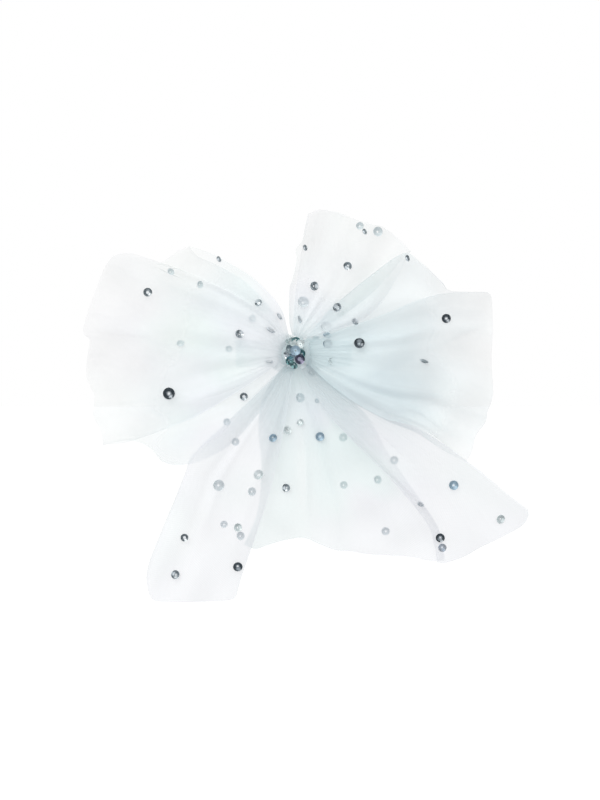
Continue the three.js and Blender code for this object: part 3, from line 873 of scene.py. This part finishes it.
def build_knot_sequins():
    for number, (film, right, up) in enumerate(KNOT_SEWN, 1):
        node = f"sequin_knot_{number}"
        low, high = (Vector(c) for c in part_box(node))
        diameter = (high.x - low.x) / MM
        point = Vector(((low.x + high.x) / 2, high.y, (low.z + high.z) / 2))
        piece = place_sequin(node + "_film", point, right, up, diameter, film, 0.0)
        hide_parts(node)
    for number, (x, z, diameter, film, right, up) in enumerate(MORE_KNOT_SEWN, 1):
        point = Vector((x, KNOT_Y - HEAP_DEPTH, z)) * MM
        piece = place_sequin(f"sequin_knot_small_{number}", point, right, up, diameter, film, 0.0)


# ---------- knot and clip ----------

WRAP = {"radius": 5.3, "half_width": 2.9, "thickness": 0.3, "pleat": 0.12, "ripple": 0.08}
CORE = {"half_length": 6.0, "waist": 4.0, "swell": 0.8, "hollow": 0.35, "ripple": 0.18}


def finish_piece(piece, material, body, node):
    piece.data.materials.append(MATERIALS[material])
    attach(piece, body)
    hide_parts(node)


def ring_about_x(name, profile, sides, ripple):
    """A band round the knot's X axis; profile is its closed section, as (x, radius)."""
    points = []
    for i in range(sides):
        angle = 2 * math.pi * i / sides
        for k, (x, radius) in enumerate(profile):
            r = radius + ripple * math.sin(3 * angle + 2.1 * k)
            points.append((x, KNOT_Y + r * math.cos(angle), r * math.sin(angle)))
    mesh = new_mesh(name, points, skin(sides, len(profile)))
    mesh.shade_smooth()
    return new_object(name, mesh)


def build_wrap():
    """The folded strip of tulle round the knot, with its own small pleats."""
    across = np.linspace(-WRAP["half_width"], WRAP["half_width"], 31)
    outer = [(x, WRAP["radius"] + WRAP["pleat"] * math.sin(3.4 * x)) for x in across]
    inner = [(x, r - WRAP["thickness"]) for x, r in reversed(outer)]
    piece = ring_about_x("wrap", outer + inner, 48, WRAP["ripple"])
    finish_piece(piece, "wrap", BODY, "centre_wrap")


def build_core():
    """The gathered tulle inside the knot, pinched by its thread and rounded off at both ends."""
    profile = []
    for x in np.linspace(-CORE["half_length"], CORE["half_length"], 25):
        waist = CORE["waist"] + CORE["swell"] * smoothstep(1.9, 2.9, abs(x))
        end = math.sqrt(max(1 - (x / 6.05) ** 4, 0.02))
        profile.append((x, waist * end))
    inner = [(x, CORE["hollow"] * r) for x, r in reversed(profile)]
    piece = ring_about_x("core", profile + inner, 60, CORE["ripple"])
    finish_piece(piece, "wrap", BODY, "gathered_core")


# The clip in mm: the middle of each jaw's metal, and how far its ribbon lies from it.
TIP = -21.0
TIP_Y = 4.7
GRIP_FROM = -12.2
FRONT_JAW_Y = -0.85
BACK_JAW_Y = 6.75
TAB_END = 20.0
INNER_END = 3.0
LINING = 0.675
RIBBON_THICKNESS = 0.35
RIBBON_WIDTH = 9.5
RIB_SPACING = 0.62
RIB_HEIGHT = 0.05
STEPS_PER_RIB = 6
# The ribbon's section, with its thicker woven edges: (share of the width, share of the thickness).
RIBBON_SECTION = np.array([(-0.5, 0.6), (-0.485, 1.0), (-0.46, 0.95), (0.0, 0.95), (0.46, 0.95),
                           (0.485, 1.0), (0.5, 0.6)])


def offset_line(line, distance):
    """The line of (x, y) moved to its left by distance."""
    line = np.array(line, float)
    tangent = np.gradient(line, axis=0)
    tangent /= np.linalg.norm(tangent, axis=1, keepdims=True)
    return line + distance * np.stack([-tangent[:, 1], tangent[:, 0]], axis=1)


def round_tip(y):
    """The ribbon's fold over the end of a jaw, from its outer to its inner face or back."""
    turn = np.linspace(0.2, math.pi - 0.2, 7)
    return np.stack([TIP - 0.45 * np.sin(turn), y - LINING * np.cos(turn)], axis=1)


def front_ribbon_line():
    bend = [(TIP, TIP_Y), (GRIP_FROM - 6, TIP_Y), (GRIP_FROM - 3, (TIP_Y + FRONT_JAW_Y) / 2),
            (GRIP_FROM, FRONT_JAW_Y)]
    line = np.vstack([smooth_curve(bend, 40), [(INNER_END, FRONT_JAW_Y)]])
    outer = offset_line(line, -LINING)[::-1]
    return np.vstack([outer, round_tip(TIP_Y), offset_line(line, LINING)])


def back_ribbon_line():
    outer = [(TAB_END, BACK_JAW_Y + LINING), (TIP, BACK_JAW_Y + LINING)]
    inner = [(TIP, BACK_JAW_Y - LINING), (INNER_END, BACK_JAW_Y - LINING)]
    return np.vstack([outer, round_tip(BACK_JAW_Y)[::-1], inner])


def evenly(line, step):
    """Points spaced evenly along the line, about a step apart, and how far along it each is."""
    length = np.concatenate([[0], np.cumsum(np.linalg.norm(np.diff(line, axis=0), axis=1))])
    at = np.linspace(0, length[-1], int(length[-1] / step) + 1)
    return at, np.stack([np.interp(at, length, line[:, k]) for k in (0, 1)], axis=1)


def closed_band(name, rings):
    """A solid skinned over rings of points in mm, one after another, and closed at both ends."""
    stations, count, _ = rings.shape
    faces = [tuple(range(count))[::-1], tuple(range((stations - 1) * count, stations * count))]
    faces += skin(stations, count, closed=False)
    return new_object(name, new_mesh(name, rings, faces))


def build_ribbon(name, node, line, body):
    """Grosgrain ribbon with its cross ribs and thicker woven edges."""
    at, middle = evenly(line, RIB_SPACING / STEPS_PER_RIB)
    left = offset_line(middle, 1.0) - middle
    ribs = RIB_HEIGHT * np.cos(2 * math.pi * at / RIB_SPACING)
    half = RIBBON_THICKNESS / 2 - RIB_HEIGHT + ribs
    across = RIBBON_SECTION[:, 0] * RIBBON_WIDTH
    edge = RIBBON_SECTION[:, 1]
    ring_z = np.concatenate([across, across[::-1]])
    ring_side = np.concatenate([edge, -edge[::-1]])
    height = half[:, None] * ring_side
    x = middle[:, :1] + left[:, :1] * height
    y = middle[:, 1:] + left[:, 1:] * height
    z = np.broadcast_to(ring_z, x.shape)
    piece = closed_band(name, np.stack([x, y, z], axis=-1))
    finish_piece(piece, "ribbon", body, node)


FELT = {"x": -3.6, "y": -2.7, "half_width": 6.8, "half_height": 7.0, "half_depth": 0.72,
        "sectors": 150, "fuzz": 0.025, "seed": 9}


def build_felt():
    """A thick oval of felt with a fibrous face and a cut edge."""
    draw = np.random.default_rng(FELT["seed"])
    out = np.concatenate([np.linspace(0.02, 0.97, 26), [0.99, 1.0]])
    rise = np.sqrt(np.clip(1 - (np.clip(out - 0.95, 0, 1) / 0.05) ** 2, 0, 1)) * 0.9 + 0.1
    out = np.concatenate([out, out[::-1]])
    rise = np.concatenate([-rise, rise[::-1]])
    turn = np.linspace(0, 2 * math.pi, FELT["sectors"], endpoint=False)
    fuzz = draw.normal(0, 1, (len(out), FELT["sectors"]))
    x = FELT["x"] + FELT["half_width"] * out[:, None] * np.cos(turn)
    z = FELT["half_height"] * out[:, None] * np.sin(turn)
    y = FELT["y"] + FELT["half_depth"] * rise[:, None] + FELT["fuzz"] * fuzz
    piece = closed_band("felt_oval", np.stack([x, y, z], axis=-1))
    piece.data.shade_smooth()
    finish_piece(piece, "felt", BODY, "felt_backing")


# The thread round the knot, in mm; twist is how often its two plies twist in one turn.
THREAD = {"radius": 4.65, "half_length": 1.8, "turns": 4, "ply_radius": 0.13, "ply_offset": 0.12,
          "twist": 9}


def build_thread():
    """Two-ply thread wound round the gathers."""
    at = np.linspace(0, 1, 260)
    angle = 2 * math.pi * THREAD["turns"] * at
    strands = []
    for ply in (0, math.pi):
        twist = angle * THREAD["twist"] + ply
        radius = THREAD["radius"] + THREAD["ply_offset"] * np.cos(twist)
        x = THREAD["half_length"] * (2 * at - 1) + THREAD["ply_offset"] * np.sin(twist)
        centre = np.stack([x, radius * np.cos(angle), radius * np.sin(angle)], axis=1)
        outward = np.stack([0 * at, np.cos(angle), np.sin(angle)], axis=1)
        turn = np.linspace(0, 2 * math.pi, 6, endpoint=False)[None, :, None]
        ring = outward[:, None] * np.cos(turn) + np.array([1.0, 0, 0]) * np.sin(turn)
        strands.append(centre[:, None] + THREAD["ply_radius"] * ring + np.array([0, KNOT_Y, 0]))
    for number, rings in enumerate(strands, 1):
        piece = closed_band(f"thread_ply_{number}", rings)
        piece.data.shade_smooth()
        finish_piece(piece, "thread", BODY, "binding_thread")


# The clip's own pieces that are shown as they are, and the material of each.
CLIP_PIECES = {
    "clip_front_jaw": "lacquer", "clip_back_jaw": "lacquer", "clip_pivot_pin": "pin",
    "clip_spring": "spring", "clip_spring_leg": "spring", "clip_grip_pad": "silicone",
}


def dress_clip():
    for node, material in CLIP_PIECES.items():
        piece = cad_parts[node]
        if not piece.data.materials:
            piece.data.materials.append(MATERIALS[material])
        for each in piece.material_slots:
            each.material = MATERIALS[material]


# ---------- colours ----------

LAVENDER = (0.83, 0.85, 0.90)
MIST = (0.79, 0.88, 0.89)
MINT = (0.79, 0.91, 0.87)
SEA = (0.66, 0.745, 0.77)
PEARL = (0.75, 0.76, 0.80)
# Each cloth: coverage by distance from the knot, its hues, and its tint at the knot.
TULLES = {
    # loop: its coverage falls to 0.05 at the rim, partly as the gathers spread out and partly as painted
    # light where the key lamp on the left washes out the left loop's outer edge
    "loop": ([(0.0, 0.7), (0.2, 0.56), (0.36, 0.4), (0.52, 0.33), (0.75, 0.15), (1.0, 0.05)],
             [(0.4, LAVENDER), (0.5, MIST), (0.6, MINT)], (0.86, 0.88, 0.90)),
    "right": ([(0.0, 0.7), (0.2, 0.6), (0.4, 0.5), (0.6, 0.38), (0.8, 0.18), (1.0, 0.06)],
              [(0.38, MIST), (0.5, SEA), (0.62, SEA)], (0.66, 0.76, 0.78)),
    "upper": ([(0.0, 0.64), (0.25, 0.40), (0.45, 0.20), (0.7, 0.12), (1.0, 0.07)],
              [(0.4, LAVENDER), (0.5, MIST), (0.6, MINT)], (0.84, 0.90, 0.91)),
    "tail": ([(0.0, 0.64), (0.2, 0.52), (0.5, 0.38), (1.0, 0.36)],
             [(0.4, PEARL), (0.5, PEARL), (0.62, (0.74, 0.79, 0.80))], (0.72, 0.79, 0.81)),
    "skirt": ([(0.0, 0.74), (0.3, 0.72), (0.6, 0.57), (1.0, 0.34)],
              [(0.4, PEARL), (0.5, (0.69, 0.785, 0.78)), (0.62, (0.68, 0.79, 0.78))], (0.60, 0.73, 0.75)),
}
TULLE = {name: tulle_material(f"tulle_{name}", *look) for name, look in TULLES.items()}
# Each film: colour, roughness and metalness.
FILMS = {
    "silver": ((0.80, 0.84, 0.87), 0.22, 1.0),
    "pale": ((0.76, 0.82, 0.84), 0.35, 0.15),
    "white": ((0.86, 0.93, 0.93), 0.22, 0.45),
    "sky": ((0.52, 0.68, 0.80), 0.3, 0.55),
    "gunmetal": ((0.34, 0.37, 0.40), 0.18, 1.0),
    "blue": ((0.42, 0.55, 0.68), 0.15, 1.0),
    "teal": ((0.36, 0.60, 0.60), 0.16, 1.0),
    "purple": ((0.36, 0.33, 0.46), 0.18, 1.0),
}
SEQUINS = {name: sequin_material(f"film_{name}", *film) for name, film in FILMS.items()}
MATERIALS = {
    "lacquer": lacquer_material("white_lacquer", (0.88, 0.90, 0.90)),
    "pin": metal_material("pin_steel", (0.60, 0.61, 0.64), 0.3),
    "spring": metal_material("spring_wire", (0.42, 0.43, 0.46), 0.3),
    "wrap": cloth_material("wrap_tulle", (0.60, 0.69, 0.71), 2600.0, 0.00015),
    "thread": cloth_material("thread", (0.90, 0.92, 0.92), 4000.0, 0.0001),
    "felt": cloth_material("felt", (0.90, 0.91, 0.90), 1500.0, 0.0003),
    "ribbon": cloth_material("grosgrain", (0.90, 0.92, 0.92), 3200.0, 0.00005, 0.6),
    "silicone": cloth_material("silicone", (0.80, 0.84, 0.86), 500.0, 0.00002, 0.35),
}

# ---------- the scene ----------

add_camera()
build_world()
add_area_light("key", (-0.55, -0.6, 0.75), 0.7, 3.0, (1.0, 0.99, 0.96))
add_area_light("rim", (0.6, 0.35, 0.35), 0.5, 1.0, (0.92, 0.96, 1.0))
add_floor()

scene = bpy.context.scene
scene.view_settings.view_transform = "Standard"
scene.view_settings.look = "None"
scene.cycles.transparent_max_bounces = LAYERS_SEEN_THROUGH

sheets = [build_loop(spec) for spec in LOOPS] + [build_tail(spec) for spec in TAILS]
build_wrap()
build_core()
build_sequins(Surfaces(sheets))
build_knot_sequins()
build_ribbon("front_ribbon", "clip_front_ribbon", front_ribbon_line(), BODY)
build_ribbon("back_ribbon", "clip_back_ribbon", back_ribbon_line(), JAW_BODY)
build_felt()
build_thread()
dress_clip()

bpy.context.view_layer.update()
